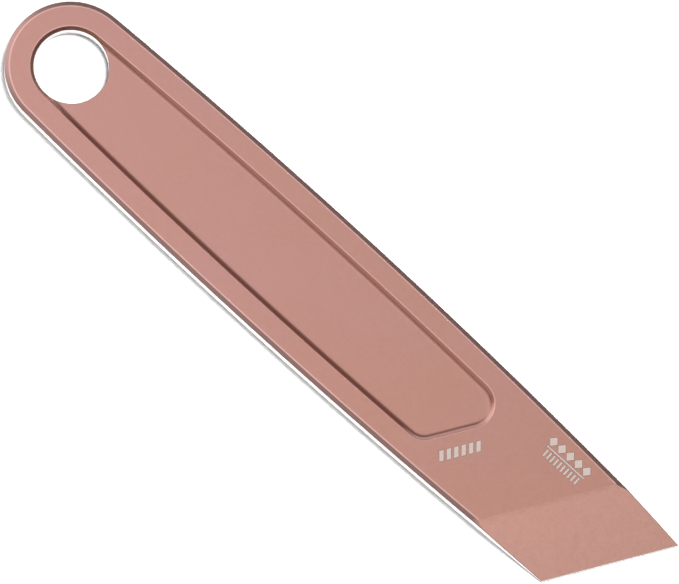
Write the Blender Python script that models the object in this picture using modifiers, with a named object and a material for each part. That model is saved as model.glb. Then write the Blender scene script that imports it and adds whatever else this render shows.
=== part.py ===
"""Painters multi tool: one flat steel scraper with a skewed chisel edge.

Frame: metres, +X from the hanging hole towards the blade, +Y across the
tool, +Z up.  The flat back lies on Z = 0, and the bounding box is centred on
X = Y = 0.  Outlines are drawn in metres from the centre of the hanging hole,
and their objects are placed at that centre.
"""
import math

import bmesh
import bpy
from mathutils import Vector

MM = 0.001

# --------------------------------------------------------- driving dimensions
THICKNESS = 4.0 * MM
HOLE_RADIUS = 8.0 * MM           # hanging hole, straight through
HOLE_BREAK = 0.15 * MM           # 45 degree break of the hole's back edge

HEAD_RADIUS = 14.2 * MM          # round end, concentric with the hole
HALF_WIDTH = 15.6 * MM           # half of the widest width
WIDEST_AT = 64.5 * MM            # station of the widest width
EDGE_CROSSES_AT = 155.9 * MM     # where the cutting edge crosses the axis
EDGE_ANGLE = math.radians(57.0)  # between the cutting edge and the axis

CHAMFER_RUN = 1.0 * MM           # chamfer of the upper edge, along the face
CHAMFER_DROP = 0.43 * MM         # and down the side wall
BACK_BREAK = 0.15 * MM           # 45 degree break of the back edge

BEVEL_RUN = 15.9 * MM            # chisel bevel, square to the cutting edge
EDGE_LAND = 0.8 * MM             # thickness left at the cutting edge

POCKET_MARGIN = 5.45 * MM        # rim left round the pocket
POCKET_DEPTH = 1.0 * MM          # its wall slopes in by the same, at 45 degrees
POCKET_END_AT = 114.4 * MM       # where the pocket's end crosses the axis
POCKET_CORNERS = {1: 5.4 * MM, -1: 4.6 * MM}   # on the +Y and the -Y side

OVERCUT = 2.0 * MM               # how far cutters reach past the plate

# ---------------------------------------------------------------- curve steps
HEAD_STEPS = 56
SIDE_STEPS = 26
CORNER_STEPS = 14
HOLE_STEPS = 96

# --------------------------------------------------------- derived dimensions
# The side arcs are tangent to the round end, so their radius follows.
SIDE_RADIUS = ((WIDEST_AT ** 2 + HALF_WIDTH ** 2 - HEAD_RADIUS ** 2)
               / (2.0 * (HALF_WIDTH - HEAD_RADIUS)))
TANGENT_ANGLE = math.atan2(SIDE_RADIUS - HALF_WIDTH, -WIDEST_AT)
EDGE_NORMAL = Vector((math.sin(EDGE_ANGLE), -math.cos(EDGE_ANGLE)))
EDGE_ALONG = Vector((math.cos(EDGE_ANGLE), math.sin(EDGE_ANGLE)))
EDGE_REACH = EDGE_CROSSES_AT * EDGE_NORMAL.x
POCKET_REACH = POCKET_END_AT * EDGE_NORMAL.x


# ------------------------------------------------------------------- outlines
def arc(centre, radius, start, end, steps, offset=0.0):
    """Points on an arc, one at every step.

    Both ends are included when offset is 0; with 0.5 the points lie half-way
    between those.
    """
    count = steps + 1 if offset == 0.0 else steps
    turns = [start + (end - start) * (i + offset) / steps for i in range(count)]
    return [centre + radius * Vector((math.cos(a), math.sin(a))) for a in turns]


def side_centre(side):
    """Centre of a side arc; side is 1 for +Y and -1 for -Y."""
    return Vector((WIDEST_AT, side * (HALF_WIDTH - SIDE_RADIUS)))


def side_meets_line(radius, reach, side):
    """Where a side arc of this radius meets the line EDGE_NORMAL . p = reach."""
    centre = side_centre(side)
    foot = centre + EDGE_NORMAL * (reach - EDGE_NORMAL.dot(centre))
    half = math.sqrt(radius ** 2 - (foot - centre).length_squared)
    return foot + EDGE_ALONG * half * side


def side_arc(inset, side, stop, offset=0.0):
    """Side arc from the round end towards the blade, ending at stop."""
    centre = side_centre(side)
    reach = stop - centre
    return arc(centre, SIDE_RADIUS - inset, side * TANGENT_ANGLE,
               math.atan2(reach.y, reach.x), SIDE_STEPS, offset)


def head_arc(inset, offset=0.0):
    return arc(Vector((0.0, 0.0)), HEAD_RADIUS - inset, TANGENT_ANGLE,
               2.0 * math.pi - TANGENT_ANGLE, HEAD_STEPS, offset)


def blank_outline():
    """Outer profile before the blade is cut, so it runs on past the edge."""
    reach = EDGE_REACH + OVERCUT
    long_side = side_arc(0.0, 1, side_meets_line(SIDE_RADIUS, reach, 1))
    short_side = side_arc(0.0, -1, side_meets_line(SIDE_RADIUS, reach, -1))
    return long_side[:0:-1] + head_arc(0.0) + short_side[1:]


def chamfer_path():
    """Open path round the outer profile, past both ends of the blank.

    Its points lie between the blank's own, so that no edge of the swept
    cutter runs down an edge of the blank.
    """
    reach = EDGE_REACH + 4.0 * OVERCUT
    long_side = side_arc(0.0, 1, side_meets_line(SIDE_RADIUS, reach, 1), 0.5)
    short_side = side_arc(0.0, -1, side_meets_line(SIDE_RADIUS, reach, -1), 0.5)
    return long_side[::-1] + head_arc(0.0, 0.5) + short_side


def pocket_side(side):
    """One side of the pocket and the rounded corner at its blade end."""
    radius = POCKET_CORNERS[side]
    corner = side_meets_line(SIDE_RADIUS - POCKET_MARGIN - radius,
                             POCKET_REACH - radius, side)
    out = (corner - side_centre(side)).normalized()
    turn = arc(corner, radius, math.atan2(out.y, out.x),
               EDGE_ANGLE - 0.5 * math.pi, CORNER_STEPS)
    return side_arc(POCKET_MARGIN, side, turn[0])[:-1] + turn


def pocket_outline():
    return pocket_side(1)[:0:-1] + head_arc(POCKET_MARGIN) + pocket_side(-1)[1:]


# --------------------------------------------------------------------- solids
def make_curve(name, points, closed):
    data = bpy.data.curves.new(name, "CURVE")
    data.dimensions = "2D"
    spline = data.splines.new("POLY")
    spline.points.add(len(points) - 1)
    for point, place in zip(spline.points, points):
        point.co = (place.x, place.y, 0.0, 1.0)
    spline.use_cyclic_u = closed
    return bpy.data.objects.new(name, data)


def mesh_from_curve(curve, collection, place):
    """Turn a curve object into a welded mesh object with the curve's name.

    Each flat cap becomes one face, so that a Bevel can follow its rim.
    """
    name = curve.name
    collection.objects.link(curve)
    curve.location = place
    bpy.context.view_layer.update()
    graph = bpy.context.evaluated_depsgraph_get()
    mesh = bpy.data.meshes.new_from_object(curve.evaluated_get(graph))
    shape = bmesh.new()
    shape.from_mesh(mesh)
    bmesh.ops.remove_doubles(shape, verts=shape.verts[:], dist=1e-6)
    bmesh.ops.dissolve_limit(shape, angle_limit=math.radians(0.05),
                             verts=shape.verts[:], edges=shape.edges[:])
    bmesh.ops.recalc_face_normals(shape, faces=shape.faces[:])
    shape.to_mesh(mesh)
    shape.free()
    solid = bpy.data.objects.new(name, mesh)
    solid.matrix_world = curve.matrix_world.copy()
    bpy.data.objects.remove(curve, do_unlink=True)
    solid.name = name
    collection.objects.link(solid)
    return solid


def extruded(name, outline, low, high, collection):
    """Solid between two heights with the given outline."""
    curve = make_curve(name, outline, True)
    curve.data.fill_mode = "BOTH"
    curve.data.extrude = 0.5 * (high - low)
    return mesh_from_curve(curve, collection, (HOLE_AT, 0.0, 0.5 * (low + high)))


def chamfer_cutter(collection):
    """Wedge swept round the perimeter, for the chamfer of the upper edge."""
    spare = 0.6
    corners = (Vector((-CHAMFER_RUN * (1.0 + spare), CHAMFER_DROP * spare)),
               Vector((CHAMFER_RUN * spare, -CHAMFER_DROP * (1.0 + spare))),
               Vector((CHAMFER_RUN * spare, CHAMFER_DROP * spare)))
    profile = make_curve("chamfer_profile", corners, True)
    sweep = make_curve("chamfer_cutter", chamfer_path(), False)
    sweep.data.bevel_mode = "OBJECT"
    sweep.data.bevel_object = profile
    sweep.data.use_fill_caps = True
    collection.objects.link(profile)
    solid = mesh_from_curve(sweep, collection, (HOLE_AT, 0.0, THICKNESS))
    bpy.data.objects.remove(profile, do_unlink=True)
    return solid


def pocket_cutter(collection):
    """The pocket, its lower edge bevelled so that the wall slopes to the floor."""
    solid = extruded("pocket_cutter", pocket_outline(), THICKNESS - POCKET_DEPTH,
                     THICKNESS + OVERCUT, collection)
    slope = solid.modifiers.new("sloping_wall", "BEVEL")
    slope.limit_method = "ANGLE"
    slope.angle_limit = math.radians(60.0)
    slope.width = POCKET_DEPTH * 0.999
    slope.segments = 1
    slope.use_clamp_overlap = False
    return solid


def hole_cutter(collection):
    """Turned cutter for the hanging hole, flared below for its edge break."""
    profile = ((0.0, THICKNESS + OVERCUT),
               (HOLE_RADIUS, THICKNESS + OVERCUT),
               (HOLE_RADIUS, HOLE_BREAK),
               (HOLE_RADIUS + HOLE_BREAK + OVERCUT, -OVERCUT),
               (0.0, -OVERCUT))
    mesh = bpy.data.meshes.new("hole_cutter")
    mesh.from_pydata([(radius, 0.0, height) for radius, height in profile],
                     [(i, i + 1) for i in range(len(profile) - 1)], [])
    solid = bpy.data.objects.new("hole_cutter", mesh)
    solid.location = (HOLE_AT, 0.0, 0.0)
    collection.objects.link(solid)
    turn = solid.modifiers.new("turn", "SCREW")
    turn.steps = HOLE_STEPS
    turn.render_steps = HOLE_STEPS
    turn.use_merge_vertices = True
    turn.merge_threshold = 1e-6
    return solid


def bevel_cutter(collection):
    """Bar that cuts the chisel bevel and the blank's end, square to the edge."""
    slope = (THICKNESS - EDGE_LAND) / BEVEL_RUN
    profile = (Vector((-BEVEL_RUN - OVERCUT, THICKNESS + slope * OVERCUT)),
               Vector((0.0, EDGE_LAND)),
               Vector((0.0, -OVERCUT)),
               Vector((4.0 * OVERCUT, -OVERCUT)),
               Vector((4.0 * OVERCUT, THICKNESS + OVERCUT)),
               Vector((-BEVEL_RUN - OVERCUT, THICKNESS + OVERCUT)))
    curve = make_curve("bevel_cutter", profile, True)
    curve.data.fill_mode = "BOTH"
    curve.data.extrude = 3.0 * HALF_WIDTH
    curve.rotation_euler = (0.5 * math.pi, 0.0, EDGE_ANGLE - 0.5 * math.pi)
    return mesh_from_curve(curve, collection, (HOLE_AT + EDGE_CROSSES_AT, 0.0, 0.0))


def cut(target, cutter):
    modifier = target.modifiers.new(cutter.name, "BOOLEAN")
    modifier.operation = "DIFFERENCE"
    modifier.solver = "EXACT"
    modifier.object = cutter
    cutter.hide_render = True
    cutter.display_type = "WIRE"


def break_back_edge(plate):
    """Bevel the rim of the plate's lower face."""
    shape = bmesh.new()
    shape.from_mesh(plate.data)
    weight = shape.edges.layers.float.new("bevel_weight_edge")
    floor = min(vert.co.z for vert in shape.verts)
    for edge in shape.edges:
        low = max(vert.co.z for vert in edge.verts) - floor < 1e-6
        if low and edge.calc_face_angle() > math.radians(60.0):
            edge[weight] = 1.0
    shape.to_mesh(plate.data)
    shape.free()
    bevel = plate.modifiers.new("back_break", "BEVEL")
    bevel.limit_method = "WEIGHT"
    bevel.width = BACK_BREAK
    bevel.segments = 1
    bevel.use_clamp_overlap = False


def satin_copper():
    material = bpy.data.materials.new("satin_copper_steel")
    material.use_nodes = True
    shader = material.node_tree.nodes["Principled BSDF"]
    shader.inputs["Base Color"].default_value = (0.55, 0.29, 0.24, 1.0)
    shader.inputs["Metallic"].default_value = 1.0
    shader.inputs["Roughness"].default_value = 0.45
    return material


# The round end sets -X and the long point of the blade sets +X.
HOLE_AT = 0.5 * (HEAD_RADIUS - side_meets_line(SIDE_RADIUS, EDGE_REACH, 1).x)


def main():
    for item in list(bpy.data.objects):
        bpy.data.objects.remove(item, do_unlink=True)
    parts = bpy.data.collections.new("painters_multi_tool")
    cutters = bpy.data.collections.new("cutters")
    bpy.context.scene.collection.children.link(parts)
    bpy.context.scene.collection.children.link(cutters)

    tool = extruded("tool_body", blank_outline(), 0.0, THICKNESS, parts)
    break_back_edge(tool)
    cut(tool, chamfer_cutter(cutters))
    cut(tool, pocket_cutter(cutters))
    cut(tool, hole_cutter(cutters))
    cut(tool, bevel_cutter(cutters))
    tool.data.materials.append(satin_copper())
    tool.data.shade_smooth()
    tool.data.set_sharp_from_angle(angle=math.radians(30.0))


main()
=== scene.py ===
"""Painters multi tool: a one-piece steel scraper in satin copper, on a plain studio stage."""

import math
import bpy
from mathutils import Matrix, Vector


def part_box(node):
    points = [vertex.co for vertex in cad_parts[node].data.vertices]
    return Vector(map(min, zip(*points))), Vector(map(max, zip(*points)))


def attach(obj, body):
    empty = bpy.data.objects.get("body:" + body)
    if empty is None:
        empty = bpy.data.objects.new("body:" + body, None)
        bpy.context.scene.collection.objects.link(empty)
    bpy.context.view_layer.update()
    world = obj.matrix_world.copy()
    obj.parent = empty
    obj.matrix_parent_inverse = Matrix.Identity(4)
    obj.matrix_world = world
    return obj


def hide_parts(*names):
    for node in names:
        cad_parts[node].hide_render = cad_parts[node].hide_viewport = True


bl_info = {
    "name": "Painters Multi Tool",
    "version": (1, 0, 0),
    "blender": (4, 5, 0),
    "location": "View3D > Sidebar > Painters Tool",
    "description": "Builds a one-piece steel painting scraper and the studio stage it lies on",
    "category": "Object",
}

import bmesh
import bpy
from bpy.props import FloatProperty, FloatVectorProperty, PointerProperty
from mathutils import Matrix, Vector

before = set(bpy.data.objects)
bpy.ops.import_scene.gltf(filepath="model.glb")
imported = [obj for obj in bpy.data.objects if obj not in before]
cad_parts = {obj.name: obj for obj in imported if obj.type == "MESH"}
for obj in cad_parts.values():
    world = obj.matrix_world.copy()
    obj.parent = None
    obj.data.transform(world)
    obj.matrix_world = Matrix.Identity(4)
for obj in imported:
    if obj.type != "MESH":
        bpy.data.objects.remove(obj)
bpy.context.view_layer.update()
LOW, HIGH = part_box("tool_body")

# How finely the skin is drawn.
HEAD_STEPS = 144
SIDE_STEPS = 64
CORNER_STEPS = 40
HOLE_STEPS = 192
EASE_STEPS = 5

# Cut edges turned by more than this are rounded.
SHARP_TURN = math.radians(24.0)
# Rounding of the small break along the back edges.
BREAK_EASE = 0.0001
# How far back from the cutting edge its rounded corners reach.
EDGE_ZONE = 0.0004
# How much wider the darker rim, a painted shadow, is than the mark that it surrounds.
HALO = 0.00022

# The material slots of the plate, in order.
COAT, EDGE_HIGHLIGHT, BRIGHT, BEVEL_PAINTED_LIGHT, WALL, CREASE, EDGE, CHAMFER = range(8)


# ------------------------------------------------------------------ properties
def length(name, description, default, **more):
    return FloatProperty(name=name, description=description, default=default,
                         min=0.0, precision=5, unit="LENGTH", **more)


def colour(name, description, default):
    return FloatVectorProperty(name=name, description=description, default=default,
                               size=3, min=0.0, max=1.0, subtype="COLOR")


class PainterToolSizes(bpy.types.PropertyGroup):
    thickness: length("Thickness", "Thickness of the plate", HIGH[2] - LOW[2])
    hole_radius: length("Hole radius", "Radius of the hanging hole", 0.008)
    head_radius: length("Head radius", "Radius of the round end", 0.0142)
    half_width: length("Half width", "Half of the widest width", 0.5 * (HIGH[1] - LOW[1]))
    widest_at: length("Widest at", "Hole centre to the widest width", 0.0645)
    edge_at: length("Edge at", "Hole centre to the cutting edge, along the axis", 0.1559)
    edge_angle: FloatProperty(name="Edge angle", description="Cutting edge to tool axis",
                              default=math.radians(57.0), subtype="ANGLE")
    bevel_run: length("Bevel run", "Width of the chisel bevel, square to the edge", 0.0159)
    edge_land: length("Edge land", "Thickness left at the cutting edge", 0.0008)
    chamfer_run: length("Chamfer run", "Perimeter chamfer, along the face", 0.001)
    chamfer_drop: length("Chamfer drop", "Perimeter chamfer, down the wall", 0.00043)
    back_break: length("Back break", "Break of the back edges", 0.00015)
    pocket_margin: length("Pocket margin", "Rim left round the pocket", 0.00545)
    pocket_depth: length("Pocket depth", "Depth of the pocket", 0.001)
    pocket_end_at: length("Pocket end at", "Hole centre to the pocket's end", 0.1144)
    long_corner: length("Long corner", "Pocket corner radius, long side", 0.0054)
    short_corner: length("Short corner", "Pocket corner radius, short side", 0.0046)
    face_ease: length("Face ease", "Rounding between face and chamfer", 0.0005)
    rim_ease: length("Rim ease", "Rounding of the pocket's rim", 0.00035)
    wall_ease: length("Wall ease", "Rounding between chamfer and wall", 0.0002)
    foot_ease: length("Foot ease", "Fillet at the foot of the pocket's wall", 0.001)
    cut_ease: length("Cut ease", "Rounding of the blade's and the hole's edges", 0.0001)
    # Width of the painted highlight strip beyond the rounding of face and chamfer.
    highlight_reach: length("Rub", "How far a brightened edge reaches onto the face", 0.00022)
    mark_height: length("Mark height", "How far an etched mark stands proud", 0.000008)


class PainterToolFinish(bpy.types.PropertyGroup):
    coat_pink: colour("Coat, pink", "Cooler cast of the copper coat", (0.600, 0.318, 0.281))
    coat_orange: colour("Coat, orange", "Warmer cast of the copper coat", (0.600, 0.313, 0.248))
    # The bevel's colours are the face's coat made brighter: painted light that makes up for the
    # shade the bevel's tilt gets. Its grain and roughness are its own.
    bevel_pink_painted_light: colour("Bevel, pink", "Cooler cast of the bevel", (0.780, 0.426, 0.367))
    bevel_orange_painted_light: colour("Bevel, orange", "Warmer cast of the bevel", (0.780, 0.430, 0.352))
    bevel_start_painted_light: colour("Bevel start", "Bevel where it leaves the face", (0.690, 0.378, 0.302))
    # The chamfer's greyer colour is a painted reflection of the dim surroundings, laid into its
    # coat.
    chamfer: colour("Chamfer", "Greyer coat of the perimeter chamfer", (0.50, 0.302, 0.275))
    # The pocket wall's deep colour is painted shade.
    wall: colour("Pocket wall", "Coat of the pocket's wall", (0.66, 0.29, 0.215))
    # The crease colour is painted shade along the foot of the pocket's wall.
    crease: colour("Pocket crease", "Coat along the foot of that wall", (0.36, 0.155, 0.11))
    # The rubbed edge colour is a painted highlight along the rounded edges.
    edge_highlight: colour("Rubbed edge", "Coat where handling has brightened it", (0.70, 0.42, 0.385))
    # The cut edge colour is painted shade along the rounded edges.
    edge: colour("Cut edge", "Darkened edges of bevel and hole", (0.30, 0.20, 0.185))
    steel: colour("Bright steel", "Bare ground side walls", (0.93, 0.93, 0.93))
    mark: colour("Etched mark", "Pale etched marks", (0.50, 0.42, 0.385))
    # The etched halo is a painted shadow round each mark.
    halo: colour("Etched halo", "Darker rim of each etched mark", (0.24, 0.155, 0.135))
    ground: colour("Ground", "Studio floor", (0.80, 0.80, 0.80))


class PainterToolStudio(bpy.types.PropertyGroup):
    azimuth: FloatProperty(name="Azimuth", description="Camera direction, 0 looks along +Y",
                           default=math.radians(9.5), subtype="ANGLE")
    elevation: FloatProperty(name="Elevation", description="Camera height above the horizon",
                             default=math.radians(78.5), subtype="ANGLE")
    lean: FloatProperty(name="Lean", description="Slope of the tool's axis in the picture",
                        default=math.radians(42.31), subtype="ANGLE")
    width: length("Width", "Width of the picture at the tool", 0.1438)
    lens: FloatProperty(name="Lens", description="Focal length of the camera, in mm",
                        default=180.0, subtype="DISTANCE_CAMERA")
    aim_x: FloatProperty(name="Aim X", description="Point the camera looks at",
                         default=-0.0004, unit="LENGTH")
    aim_y: FloatProperty(name="Aim Y", description="Point the camera looks at",
                         default=0.00285, unit="LENGTH")
    top_power: FloatProperty(name="Top light", description="Overhead softbox", default=1.5,
                             unit="POWER")
    head_power: FloatProperty(name="Head light", description="Softbox beyond the round end",
                              default=0.9, unit="POWER")
    floor_power: FloatProperty(name="Floor light", description="High light on the floor",
                               default=15.0, unit="POWER")
    side_power: FloatProperty(name="Side light", description="Low light on the side walls",
                              default=14.0, unit="POWER")
    low_power: FloatProperty(name="Low light", description="Softbox on the short side",
                             default=0.72, unit="POWER")


def sizes():
    return bpy.context.scene.painter_tool_sizes


def finish():
    return bpy.context.scene.painter_tool_finish


def studio():
    return bpy.context.scene.painter_tool_studio


# -------------------------------------------------------------------- outlines
class Plan:
    """The tool seen from above, in metres from the centre of the hanging hole."""

    def __init__(self, size):
        self.size = size
        widen = size.half_width - size.head_radius
        self.side_radius = (size.widest_at ** 2 + size.half_width ** 2
                            - size.head_radius ** 2) / (2.0 * widen)
        self.tangent = math.atan2(self.side_radius - size.half_width, -size.widest_at)
        self.normal = Vector((math.sin(size.edge_angle), -math.cos(size.edge_angle)))
        self.along = Vector((math.cos(size.edge_angle), math.sin(size.edge_angle)))
        self.edge_reach = size.edge_at * self.normal.x
        self.pocket_reach = size.pocket_end_at * self.normal.x

    def side_centre(self, side):
        return Vector((self.size.widest_at,
                       side * (self.size.half_width - self.side_radius)))

    def side_meets(self, radius, reach, side):
        """Where a side arc meets the line normal . p = reach."""
        centre = self.side_centre(side)
        foot = centre + self.normal * (reach - self.normal.dot(centre))
        half = math.sqrt(radius ** 2 - (foot - centre).length_squared)
        return foot + self.along * half * side

    def side_arc(self, inset, side, stop):
        centre = self.side_centre(side)
        out = stop - centre
        return arc(centre, self.side_radius - inset, side * self.tangent,
                   math.atan2(out.y, out.x), SIDE_STEPS)

    def head_arc(self, inset):
        return arc(Vector((0.0, 0.0)), self.size.head_radius - inset, self.tangent,
                   2.0 * math.pi - self.tangent, HEAD_STEPS)

    def plate(self, inset):
        """Outer profile, run on past the cutting edge."""
        reach = self.edge_reach + 0.003
        ends = {side: self.side_meets(self.side_radius - inset, reach, side)
                for side in (1, -1)}
        return (self.side_arc(inset, 1, ends[1])[:0:-1] + self.head_arc(inset)
                + self.side_arc(inset, -1, ends[-1])[1:])

    def pocket(self, inset):
        """Pocket profile, its rim moved inwards by inset."""
        full = self.size.pocket_margin + inset
        halves = {}
        for side, radius in ((1, self.size.long_corner), (-1, self.size.short_corner)):
            corner = self.side_meets(self.side_radius - self.size.pocket_margin - radius,
                                     self.pocket_reach - radius, side)
            out = (corner - self.side_centre(side)).normalized()
            turn = arc(corner, radius - inset, math.atan2(out.y, out.x),
                       self.size.edge_angle - 0.5 * math.pi, CORNER_STEPS)
            halves[side] = self.side_arc(full, side, turn[0])[:-1] + turn
        return halves[1][:0:-1] + self.head_arc(full) + halves[-1][1:]

    def circle(self, radius):
        return arc(Vector((0.0, 0.0)), radius, 0.0, 2.0 * math.pi, HOLE_STEPS)[:-1]


def arc(centre, radius, start, end, steps):
    """Points on an arc, both ends included."""
    turns = [start + (end - start) * i / steps for i in range(steps + 1)]
    return [centre + radius * Vector((math.cos(a), math.sin(a))) for a in turns]


def eased(corners):
    """Section through corners (inset, height, rounding, slot, ease slot).

    Returns (inset, height, slot) points; slot is the material of the strip
    that starts there.  The strips of a rounded corner take its ease slot.
    """
    points = []
    for i, (inset, height, rounding, slot, ease_slot) in enumerate(corners):
        here = Vector((inset, height))
        if not rounding:
            points.append((inset, height, slot))
            continue
        back = (Vector(corners[i - 1][:2]) - here).normalized()
        ahead = (Vector(corners[i + 1][:2]) - here).normalized()
        half = 0.5 * back.angle(ahead)
        centre = here + (back + ahead).normalized() * rounding / math.sin(half)
        first = here + back * rounding / math.tan(half) - centre
        last = here + ahead * rounding / math.tan(half) - centre
        start = math.atan2(first.y, first.x)
        turn = (math.atan2(last.y, last.x) - start + math.pi) % (2.0 * math.pi) - math.pi
        for k in range(EASE_STEPS + 1):
            angle = start + turn * k / EASE_STEPS
            point = centre + rounding * Vector((math.cos(angle), math.sin(angle)))
            points.append((point.x, point.y, ease_slot if k < EASE_STEPS else slot))
    return points


# ---------------------------------------------------------------------- meshes
def loft(name, rings, cap_slots):
    """Closed skin through rings of (outline, height, slot), lowest ring first."""
    shape = bmesh.new()
    levels = [[shape.verts.new((p.x, p.y, height)) for p in outline]
              for outline, height, _ in rings]
    count = len(levels[0])
    for level, above, (_, _, slot) in zip(levels, levels[1:], rings):
        for i in range(count):
            j = (i + 1) % count
            face = shape.faces.new((level[i], level[j], above[j], above[i]))
            face.material_index = slot
    shape.faces.new(levels[0][::-1]).material_index = cap_slots[0]
    shape.faces.new(levels[-1]).material_index = cap_slots[1]
    bmesh.ops.recalc_face_normals(shape, faces=shape.faces[:])
    return object_from(name, shape)


def object_from(name, shape):
    mesh = bpy.data.meshes.new(name)
    shape.to_mesh(mesh)
    shape.free()
    piece = bpy.data.objects.new(name, mesh)
    bpy.context.scene.collection.objects.link(piece)
    return piece


def plate_blank(plan):
    """The plate before anything is cut in it, with its chamfer and eased edges."""
    size = plan.size
    top = size.thickness
    deep = 0.004
    section = eased((
        (deep, 0.0, 0.0, COAT, COAT),
        # The rounding of the underside break takes the painted highlight too.
        (size.back_break, 0.0, BREAK_EASE, COAT, EDGE_HIGHLIGHT),
        (0.0, size.back_break, BREAK_EASE, BRIGHT, COAT),
        # The chamfer and its rounding into the side wall take the chamfer slot: a painted
        # reflection, greyer and darker than the coat.
        (0.0, top - size.chamfer_drop, size.wall_ease, CHAMFER, CHAMFER),
        # The rounding from chamfer to face and a thin strip beyond it are a painted highlight.
        (size.chamfer_run, top, size.face_ease, EDGE_HIGHLIGHT, EDGE_HIGHLIGHT),
        (size.chamfer_run + size.highlight_reach, top, 0.0, COAT, COAT),
        (deep, top, 0.0, COAT, COAT)))
    rings = [(plan.plate(inset), height, slot) for inset, height, slot in section]
    return loft("tool_plate", rings, (COAT, COAT))


def pocket_cutter(plan):
    size = plan.size
    top = size.thickness
    floor = top - size.pocket_depth
    over = 0.001
    section = eased((
        (size.pocket_depth + 0.0008, floor, 0.0, COAT, COAT),
        # Painted shade: the crease strip at the wall's foot.
        (size.pocket_depth, floor, size.foot_ease, CREASE, COAT),
        # Painted shade: the pocket's wall strip.
        (0.6 * size.pocket_depth, floor + 0.4 * size.pocket_depth, 0.0, WALL, WALL),
        # Painted highlight: the rounding of the pocket's rim.
        (0.0, top, size.rim_ease, COAT, EDGE_HIGHLIGHT),
        (-over, top, 0.0, COAT, COAT)))
    # The last eased strip runs on upwards, so that it crosses the face cleanly.
    (inset, height, _), (near, low, _) = section[-2], section[-3]
    slope = (height - low) / (near - inset)
    section[-2:] = [(inset - over, height + slope * over, COAT),
                    (inset - over, top + over, COAT)]
    rings = [(plan.pocket(inset), height, slot) for inset, height, slot in section]
    return loft("pocket_cutter", rings, (COAT, COAT))


def hole_cutter(plan):
    size = plan.size
    over = 0.002
    radius = size.hole_radius
    section = eased((
        (-size.back_break - over, -over, 0.0, COAT, COAT),
        (0.0, size.back_break, BREAK_EASE, BRIGHT, COAT),
        (0.0, size.thickness + over, 0.0, BRIGHT, BRIGHT)))
    rings = [(plan.circle(radius - inset), height, slot) for inset, height, slot in section]
    return loft("hole_cutter", rings, (COAT, COAT))


def bevel_cutter(plan):
    """Bar whose section, square to the cutting edge, takes off bevel and end."""
    size = plan.size
    over = 0.002
    slope = (size.thickness - size.edge_land) / size.bevel_run
    # The bevel face takes the bevel slot, whose brighter colour is painted light.
    section = ((-size.bevel_run - over, size.thickness + slope * over, BEVEL_PAINTED_LIGHT),
               (0.0, size.edge_land, BRIGHT),
               (0.0, -over, COAT),
               (4.0 * over, -over, COAT),
               (4.0 * over, size.thickness + over, COAT),
               (-size.bevel_run - over, size.thickness + over, COAT))
    middle = Vector((size.edge_at, 0.0))
    shape = bmesh.new()
    ends = []
    for away in (-0.045, 0.045):
        points = [middle + plan.normal * run + plan.along * away for run, _, _ in section]
        ends.append([shape.verts.new((p.x, p.y, height))
                     for p, (_, height, _) in zip(points, section)])
    for i, (_, _, slot) in enumerate(section):
        j = (i + 1) % len(section)
        shape.faces.new((ends[0][i], ends[0][j], ends[1][j], ends[1][i])).material_index = slot
    shape.faces.new(ends[0][::-1])
    shape.faces.new(ends[1])
    bmesh.ops.recalc_face_normals(shape, faces=shape.faces[:])
    return object_from("bevel_cutter", shape)


def cut(piece, cutter):
    """Subtract cutter from piece for good, and remove it."""
    modifier = piece.modifiers.new(cutter.name, "BOOLEAN")
    modifier.operation = "DIFFERENCE"
    modifier.solver = "EXACT"
    modifier.object = cutter
    bpy.context.view_layer.update()
    graph = bpy.context.evaluated_depsgraph_get()
    mesh = bpy.data.meshes.new_from_object(piece.evaluated_get(graph))
    piece.modifiers.remove(modifier)
    old = piece.data
    piece.data = mesh
    bpy.data.meshes.remove(old)
    bpy.data.objects.remove(cutter, do_unlink=True)


def ease_cut_edges(piece, plan):
    """Round the edges that the cutters left: worn bright at the blade, and painted dark
    elsewhere as shade.
    """
    shape = bmesh.new()
    shape.from_mesh(piece.data)
    sharp = [edge for edge in shape.edges
             if edge.is_manifold and edge.calc_face_angle() > SHARP_TURN]
    rounded = bmesh.ops.bevel(shape, geom=sharp, offset=plan.size.cut_ease, segments=2,
                              profile=0.5, affect="EDGES", clamp_overlap=False)
    for face in rounded["faces"]:
        reach = plan.normal.dot(face.calc_center_median().xy)
        at_edge = reach > plan.edge_reach - EDGE_ZONE
        # Away from the cutting edge, the rounded faces get painted shade.
        face.material_index = BRIGHT if at_edge else EDGE
    for face in shape.faces:
        face.smooth = True
    shape.to_mesh(piece.data)
    shape.free()
    weighted = piece.modifiers.new("even_shading", "WEIGHTED_NORMAL")
    weighted.mode = "FACE_AREA"
    weighted.weight = 80
    weighted.keep_sharp = False


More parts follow.
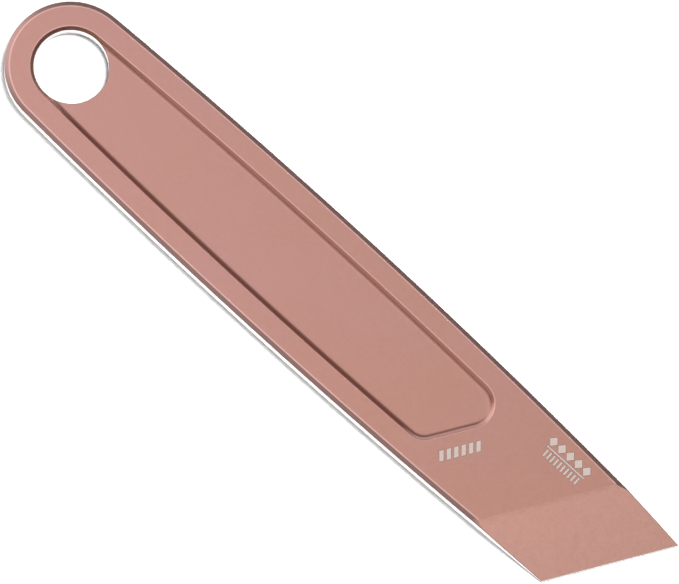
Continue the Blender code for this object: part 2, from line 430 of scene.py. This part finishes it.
# ------------------------------------------------------------------- materials
class Nodes:
    """Short way to add nodes to a material or a world."""

    def __init__(self, owner):
        owner.use_nodes = True
        self.tree = owner.node_tree
        self.tree.nodes.clear()

    def add(self, kind, inputs=None, **settings):
        node = self.tree.nodes.new(kind)
        for name, value in settings.items():
            setattr(node, name, value)
        for name, value in (inputs or {}).items():
            if isinstance(value, bpy.types.NodeSocket):
                self.tree.links.new(value, node.inputs[name])
            else:
                node.inputs[name].default_value = value
        return node

    def noise(self, place, scale, detail=2.0, roughness=0.5):
        node = self.add("ShaderNodeTexNoise", {"Vector": place, "Scale": scale,
                                               "Detail": detail, "Roughness": roughness})
        return node.outputs["Fac"]

    def spread(self, value, low, high, to_low, to_high):
        node = self.add("ShaderNodeMapRange", {"Value": value, "From Min": low,
                                               "From Max": high, "To Min": to_low,
                                               "To Max": to_high})
        return node.outputs["Result"]

    def blend(self, factor, first, second, mode="MIX"):
        node = self.add("ShaderNodeMix", data_type="RGBA", blend_type=mode)
        for socket, value in zip((0, 6, 7), (factor, first, second)):
            if isinstance(value, bpy.types.NodeSocket):
                self.tree.links.new(value, node.inputs[socket])
            else:
                node.inputs[socket].default_value = value
        return node.outputs[2]

    def scaled(self, value, factor):
        node = self.add("ShaderNodeVectorMath", {0: value, "Scale": factor},
                        operation="SCALE")
        return node.outputs[0]

    def across(self, place, plan):
        """Distance square to the cutting edge, in the plane of the plate."""
        node = self.add("ShaderNodeVectorMath", {0: place, 1: (*plan.normal, 0.0)},
                        operation="DOT_PRODUCT")
        return node.outputs["Value"]

    def finish(self, shader):
        output = self.add("ShaderNodeOutputMaterial")
        self.tree.links.new(shader, output.inputs["Surface"])


def rgba(value):
    return (*value, 1.0)


def copper_coat(name, pink, orange, grain, depth, mottle, roughness, metal=1.0,
                fade=None):
    """Satin copper coat over blasted steel.

    grain is the size of the blast marks in metres, depth the height of their
    bump, mottle how much each mark lightens or darkens the coat, metal how
    metallic it is.  With fade, a colour and the plan, the coat fades in from
    that colour where the bevel starts, along a ragged line; that colour is a
    brightened copy of the coat, painted light.
    """
    material = bpy.data.materials.new(name)
    nodes = Nodes(material)
    place = nodes.add("ShaderNodeTexCoord").outputs["Object"]
    along = nodes.add("ShaderNodeSeparateXYZ", {"Vector": place}).outputs["X"]
    drift = nodes.spread(along, LOW[0], HIGH[0], -0.2, 0.75)
    patches = nodes.spread(nodes.noise(place, 55.0, 3.0), 0.35, 0.65, -0.15, 0.4)
    cast = nodes.add("ShaderNodeMath", {0: drift, 1: patches}, operation="ADD",
                     use_clamp=True).outputs[0]
    coat = nodes.blend(cast, rgba(pink), rgba(orange))
    # The fade colour is painted light, a brightened copy of the coat where the bevel starts.
    if fade:
        start, plan = fade
        across = nodes.across(place, plan)
        ragged = nodes.spread(nodes.noise(place, 420.0, 4.0, 0.6), 0.3, 0.7, -0.0007, 0.0007)
        level = nodes.add("ShaderNodeMath", {0: across, 1: ragged},
                          operation="ADD").outputs[0]
        begin = plan.normal.dot(hole_place().xy) + plan.edge_reach - plan.size.bevel_run
        coat = nodes.blend(nodes.spread(level, begin - 0.0003, begin + 0.0012, 0.0, 1.0),
                           rgba(start), coat)
    marks = nodes.noise(place, 1.0 / grain, 3.0, 0.6)
    shade = nodes.spread(marks, 0.3, 0.7, 1.0 - mottle, 1.0 + mottle)
    # Painted light: every copper coat is made brighter towards the round end and darker towards
    # the blade.
    wide = nodes.spread(along, LOW[0], HIGH[0], 1.05, 0.93)
    both = nodes.add("ShaderNodeMath", {0: shade, 1: wide}, operation="MULTIPLY").outputs[0]
    tint = nodes.scaled(coat, both)
    rough = nodes.spread(nodes.noise(place, 0.35 / grain, 2.0), 0.3, 0.7,
                         roughness - 0.03, roughness + 0.03)
    bump = nodes.add("ShaderNodeBump", {"Strength": 0.6, "Distance": depth, "Height": marks})
    shader = nodes.add("ShaderNodeBsdfPrincipled", {
        "Base Color": tint, "Metallic": metal, "Roughness": rough,
        "Normal": bump.outputs["Normal"]})
    nodes.finish(shader.outputs["BSDF"])
    return material


def painted_light_wall_coat(name, deep, pale, plan):
    """Copper on the pocket's wall, with painted shade that is darkest round the hole and
    painted light that makes it pale at the blade end.
    """
    material = bpy.data.materials.new(name)
    nodes = Nodes(material)
    place = nodes.add("ShaderNodeTexCoord").outputs["Object"]
    along = nodes.add("ShaderNodeSeparateXYZ", {"Vector": place}).outputs["X"]
    hole = hole_place().x
    across = nodes.across(place, plan)
    end = plan.normal.dot(hole_place().xy) + plan.pocket_reach
    marks = nodes.noise(place, 4500.0, 3.0, 0.6)
    start, stop = end - 0.0045, end - 0.0012
    # Towards the blade end the deep colour turns pale and less metallic: a painted highlight on
    # the pocket's corner.
    tint = nodes.blend(nodes.spread(across, start, stop, 0.0, 1.0), rgba(deep), rgba(pale))
    metal = nodes.spread(across, start, stop, 1.0, 0.66)
    # Painted shade: darker round the hanging hole.
    dark = nodes.spread(along, hole - 0.004, hole + 0.016, 0.46, 1.0)
    shade = nodes.spread(marks, 0.3, 0.7, 0.97, 1.03)
    both = nodes.add("ShaderNodeMath", {0: shade, 1: dark}, operation="MULTIPLY").outputs[0]
    base = nodes.scaled(tint, both)
    bump = nodes.add("ShaderNodeBump", {"Strength": 0.6, "Distance": 0.000010,
                                        "Height": marks})
    shader = nodes.add("ShaderNodeBsdfPrincipled", {
        "Base Color": base, "Metallic": metal, "Roughness": 0.42,
        "Normal": bump.outputs["Normal"]})
    nodes.finish(shader.outputs["BSDF"])
    return material


def bright_steel(name, base):
    """Bare ground side wall, with fine marks that run round the tool."""
    material = bpy.data.materials.new(name)
    nodes = Nodes(material)
    place = nodes.add("ShaderNodeTexCoord").outputs["Object"]
    drawn = nodes.add("ShaderNodeMapping", {"Vector": place, "Scale": (1.0, 1.0, 18.0)})
    marks = nodes.noise(drawn.outputs["Vector"], 900.0, 3.0, 0.6)
    shade = nodes.spread(marks, 0.3, 0.7, 0.96, 1.0)
    tint = nodes.scaled(base, shade)
    rough = nodes.spread(marks, 0.3, 0.7, 0.34, 0.46)
    bump = nodes.add("ShaderNodeBump", {"Strength": 0.4, "Distance": 0.000004,
                                        "Height": marks})
    shader = nodes.add("ShaderNodeBsdfPrincipled", {
        "Base Color": tint, "Metallic": 0.35, "Roughness": rough,
        "Normal": bump.outputs["Normal"]})
    nodes.finish(shader.outputs["BSDF"])
    return material


def etched_mark(name, base):
    """Pale frosted surface that the marking laser leaves."""
    material = bpy.data.materials.new(name)
    nodes = Nodes(material)
    place = nodes.add("ShaderNodeTexCoord").outputs["Object"]
    frost = nodes.noise(place, 4500.0, 3.0, 0.7)
    shade = nodes.spread(frost, 0.3, 0.7, 0.86, 1.06)
    tint = nodes.scaled(base, shade)
    rough = nodes.spread(frost, 0.3, 0.7, 0.62, 0.8)
    shader = nodes.add("ShaderNodeBsdfPrincipled", {
        "Base Color": tint, "Metallic": 0.3, "Roughness": rough})
    nodes.finish(shader.outputs["BSDF"])
    return material


def studio_ground(name, base):
    material = bpy.data.materials.new(name)
    nodes = Nodes(material)
    shader = nodes.add("ShaderNodeBsdfPrincipled", {
        "Base Color": rgba(base), "Roughness": 0.9, "Specular IOR Level": 0.1})
    nodes.finish(shader.outputs["BSDF"])
    return material


# ------------------------------------------------------------------- operators
def hole_place():
    """World place of the hanging hole's centre on the back face."""
    return Vector((LOW[0] + sizes().head_radius, 0.5 * (LOW[1] + HIGH[1]), LOW[2]))


class PAINTERTOOL_OT_plate(bpy.types.Operator):
    """Cut the steel plate: outline, chamfer, pocket, hanging hole and chisel bevel"""
    bl_idname = "paintertool.plate"
    bl_label = "Steel plate"
    bl_options = {"REGISTER", "UNDO"}

    def execute(self, context):
        plan = Plan(sizes())
        look = finish()
        slots = (
            copper_coat("satin_copper_coat", look.coat_pink, look.coat_orange,
                        0.00022, 0.000010, 0.02, 0.42),
            copper_coat("painted_highlight_copper_edge", look.edge_highlight, look.edge_highlight,
                        # Painted highlight: the brightened edges, lighter and less metallic
                        # than the coat.
                        0.00022, 0.000004, 0.02, 0.34, 0.88),
            bright_steel("bright_ground_steel", look.steel),
            # Painted light: the bevel's brighter base colours.
            copper_coat("blasted_copper_bevel_painted_light", look.bevel_pink_painted_light, look.bevel_orange_painted_light,
                        0.00042, 0.000022, 0.05, 0.46, 1.0, (look.bevel_start_painted_light, plan)),
            # Painted shade on the pocket's wall, darkest round the hole, with a painted
            # highlight at the blade end.
            painted_light_wall_coat("painted_light_copper_wall", look.wall, look.edge_highlight, plan),
            # Painted shade: the dark line along the foot of the pocket's wall.
            painted_light_wall_coat("painted_shade_copper_crease", look.crease, look.coat_orange, plan),
            # Painted shade: the darkened cut edges.
            copper_coat("painted_shade_copper_edge", look.edge, look.edge,
                        0.00022, 0.000004, 0.04, 0.45),
            # Painted reflection: the chamfer's greyer, darker colour.
            copper_coat("painted_reflection_copper_chamfer", look.chamfer, look.chamfer,
                        0.00022, 0.000006, 0.03, 0.40))
        plate = plate_blank(plan)
        cutters = (pocket_cutter(plan), hole_cutter(plan), bevel_cutter(plan))
        for piece in (plate, *cutters):
            for material in slots:
                piece.data.materials.append(material)
        for cutter in cutters:
            cut(plate, cutter)
        ease_cut_edges(plate, plan)
        plate.data.transform(Matrix.Translation(hole_place()))
        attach(plate, "root")
        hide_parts("tool_body")
        return {"FINISHED"}


def lozenge(centre, wide, tall):
    half_w, half_t = 0.5 * wide, 0.5 * tall
    return [centre + Vector(p) for p in ((-half_w, 0.0), (0.0, -half_t),
                                         (half_w, 0.0), (0.0, half_t))]


def bar(centre, wide, tall, slant=0.0):
    half_w, half_t, lean = 0.5 * wide, 0.5 * tall, 0.5 * slant
    return [centre + Vector(p) for p in ((-half_w - lean, -half_t), (half_w - lean, -half_t),
                                         (half_w + lean, half_t), (-half_w + lean, half_t))]


def mark_outlines(size, grow):
    """Outlines of all the marks, from the hole's centre, each widened by grow."""
    outlines = [lozenge(Vector((0.1293 + 0.00235 * i, 0.0101)),
                        0.0021 + 1.5 * grow, 0.0024 + 1.5 * grow) for i in range(5)]
    outlines += [bar(Vector((0.1340, 0.0085)), 0.0104 + grow, 0.0003 + grow)]
    outlines += [bar(Vector((0.1296 + 0.00098 * i, 0.0071)),
                     0.00042 + grow, 0.0017 + grow) for i in range(10)]
    # The slanted bars stand along the cutting edge.
    turn = Matrix.Rotation(size.edge_angle, 2)
    middle = Vector((0.1159, -0.0050))
    for i in range(6):
        slanted = bar(Vector((-0.00410 + 0.00164 * i, 0.0)),
                      0.00095 + grow, 0.0022 + grow, 0.0006)
        outlines.append([turn @ p + middle for p in slanted])
    return outlines


class PAINTERTOOL_OT_marks(bpy.types.Operator):
    """Etch plain pale marks on the blade: a row of lozenges over a rule, and a row of bars"""
    bl_idname = "paintertool.marks"
    bl_label = "Etched marks"
    bl_options = {"REGISTER", "UNDO"}

    def execute(self, context):
        size = sizes()
        # The rims under the marks are a painted shadow.
        layers = (("etched_rims", HALO, 0.5, "painted_shadow_etching_rim", finish().halo),
                  ("etched_marks", 0.0, 1.0, "pale_etching", finish().mark))
        for name, grow, share, material, shade in layers:
            outlines = mark_outlines(size, grow)
            piece = etch(name, outlines, size.thickness + share * size.mark_height)
            piece.data.materials.append(etched_mark(material, shade))
            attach(piece, "root")
        return {"FINISHED"}


def etch(name, outlines, top):
    """Thin closed plates let into the face, one for each outline."""
    deep = 0.00002
    skin = bmesh.new()
    for outline in outlines:
        low = [skin.verts.new((p.x, p.y, top - deep)) for p in outline]
        high = [skin.verts.new((p.x, p.y, top)) for p in outline]
        count = len(outline)
        for i in range(count):
            j = (i + 1) % count
            skin.faces.new((low[i], low[j], high[j], high[i]))
        skin.faces.new(low[::-1])
        skin.faces.new(high)
    bmesh.ops.recalc_face_normals(skin, faces=skin.faces[:])
    bmesh.ops.translate(skin, verts=skin.verts[:], vec=hole_place())
    return object_from(name, skin)


def area_light(name, power, wide, tall, place, aim, level, lights):
    """Softbox at place that faces aim; its wide side runs along level.

    lights says what it acts on, "glossy" or "matt" surfaces.
    """
    data = bpy.data.lights.new(name, "AREA")
    data.shape = "RECTANGLE"
    data.size = wide
    data.size_y = tall
    data.energy = power
    lamp = bpy.data.objects.new(name, data)
    back = (Vector(place) - Vector(aim)).normalized()
    level = Vector(level)
    right = (level - back * level.dot(back)).normalized()
    turn = Matrix((right, back.cross(right), back)).transposed().to_4x4()
    lamp.matrix_world = Matrix.Translation(place) @ turn
    lamp.visible_glossy = lights == "glossy"
    lamp.visible_diffuse = lights == "matt"
    bpy.context.scene.collection.objects.link(lamp)
    return lamp


class PAINTERTOOL_OT_stage(bpy.types.Operator):
    """Lay the floor, hang the softboxes and set the camera"""
    bl_idname = "paintertool.stage"
    bl_label = "Stage"
    bl_options = {"REGISTER", "UNDO"}

    def execute(self, context):
        self.floor()
        self.lights()
        self.world()
        self.camera()
        context.scene.view_settings.view_transform = "Standard"
        return {"FINISHED"}

    def floor(self):
        shape = bmesh.new()
        bmesh.ops.create_grid(shape, x_segments=1, y_segments=1, size=3.0)
        floor = object_from("studio_floor", shape)
        floor.location.z = LOW[2] - 0.00001
        floor.data.materials.append(studio_ground("studio_ground", finish().ground))

    def lights(self):
        """Three softboxes that the metal mirrors, and two lights for matt surfaces."""
        power = studio()
        area_light("top_softbox", power.top_power, 1.00, 0.56,
                   (-0.10, -0.03, 0.50), (-0.10, -0.03, 0.0), (1.0, 0.1, 0.0), "glossy")
        area_light("head_softbox", power.head_power, 0.60, 0.45,
                   (-0.62, -0.10, 0.26), (0.0, 0.0, 0.0), (0.0, 1.0, 0.0), "glossy")
        area_light("low_softbox", power.low_power, 1.20, 0.30,
                   (0.00, -0.90, 0.25), (0.0, 0.0, 0.0), (1.0, 0.0, 0.0), "glossy")
        area_light("floor_light", power.floor_power, 0.26, 0.26,
                   (0.00, 0.24, 1.00), (0.0, 0.0, 0.0), (1.0, 0.0, 0.0), "matt")
        area_light("side_light", power.side_power, 2.00, 0.16,
                   (-0.05, -0.90, 0.19), (0.0, 0.0, 0.0), (1.0, 0.0, 0.0), "matt")

    def world(self):
        """Pale backdrop for the camera, dim air for reflections, dimmer for matt surfaces."""
        world = bpy.data.worlds.new("studio_air")
        bpy.context.scene.world = world
        nodes = Nodes(world)
        path = nodes.add("ShaderNodeLightPath")
        seen, mirrored, matt = [
            nodes.add("ShaderNodeBackground", {"Color": (shade, shade, shade, 1.0),
                                               "Strength": 1.0}).outputs[0]
            for shade in (0.96, 0.25, 0.10)]
        air = nodes.add("ShaderNodeMixShader", {0: path.outputs["Is Diffuse Ray"],
                                                1: mirrored, 2: matt})
        both = nodes.add("ShaderNodeMixShader", {0: path.outputs["Is Camera Ray"],
                                                 1: air.outputs[0], 2: seen})
        output = nodes.add("ShaderNodeOutputWorld")
        nodes.tree.links.new(both.outputs[0], output.inputs["Surface"])

    def camera(self):
        view = studio()
        lens = bpy.data.cameras.new("studio_camera")
        lens.lens = view.lens
        lens.sensor_width = 36.0
        lens.clip_start = 0.01
        camera = bpy.data.objects.new("studio_camera", lens)
        back = Vector((math.sin(view.azimuth) * math.cos(view.elevation),
                       -math.cos(view.azimuth) * math.cos(view.elevation),
                       math.sin(view.elevation)))
        axis = Vector((1.0, 0.0, 0.0))
        axis = (axis - back * axis.dot(back)).normalized()
        right = Matrix.Rotation(view.lean, 3, back) @ axis
        up = back.cross(right)
        aim = Vector((view.aim_x, view.aim_y, HIGH[2]))
        turn = Matrix((right, up, back)).transposed().to_4x4()
        away = view.width * lens.lens / lens.sensor_width
        camera.matrix_world = Matrix.Translation(aim + back * away) @ turn
        bpy.context.scene.collection.objects.link(camera)
        bpy.context.scene.camera = camera


# ----------------------------------------------------------------------- panel
class PAINTERTOOL_PT_panel(bpy.types.Panel):
    """Builds the tool piece by piece"""
    bl_label = "Painters Multi Tool"
    bl_idname = "PAINTERTOOL_PT_panel"
    bl_space_type = "VIEW_3D"
    bl_region_type = "UI"
    bl_category = "Painters Tool"

    def draw(self, context):
        layout = self.layout
        for operator in OPERATORS:
            layout.operator(operator.bl_idname)
        for group in (sizes(), finish(), studio()):
            box = layout.box()
            for name in group.__annotations__:
                box.prop(group, name)


GROUPS = (("painter_tool_sizes", PainterToolSizes),
          ("painter_tool_finish", PainterToolFinish),
          ("painter_tool_studio", PainterToolStudio))
OPERATORS = (PAINTERTOOL_OT_plate, PAINTERTOOL_OT_marks, PAINTERTOOL_OT_stage)


def register():
    for name, group in GROUPS:
        bpy.utils.register_class(group)
        setattr(bpy.types.Scene, name, PointerProperty(type=group))
    for operator in OPERATORS:
        bpy.utils.register_class(operator)
    bpy.utils.register_class(PAINTERTOOL_PT_panel)


def unregister():
    bpy.utils.unregister_class(PAINTERTOOL_PT_panel)
    for operator in reversed(OPERATORS):
        bpy.utils.unregister_class(operator)
    for name, group in reversed(GROUPS):
        delattr(bpy.types.Scene, name)
        bpy.utils.unregister_class(group)


def main():
    register()
    bpy.ops.paintertool.plate()
    bpy.ops.paintertool.marks()
    bpy.ops.paintertool.stage()


if __name__ == "__main__":
    main()
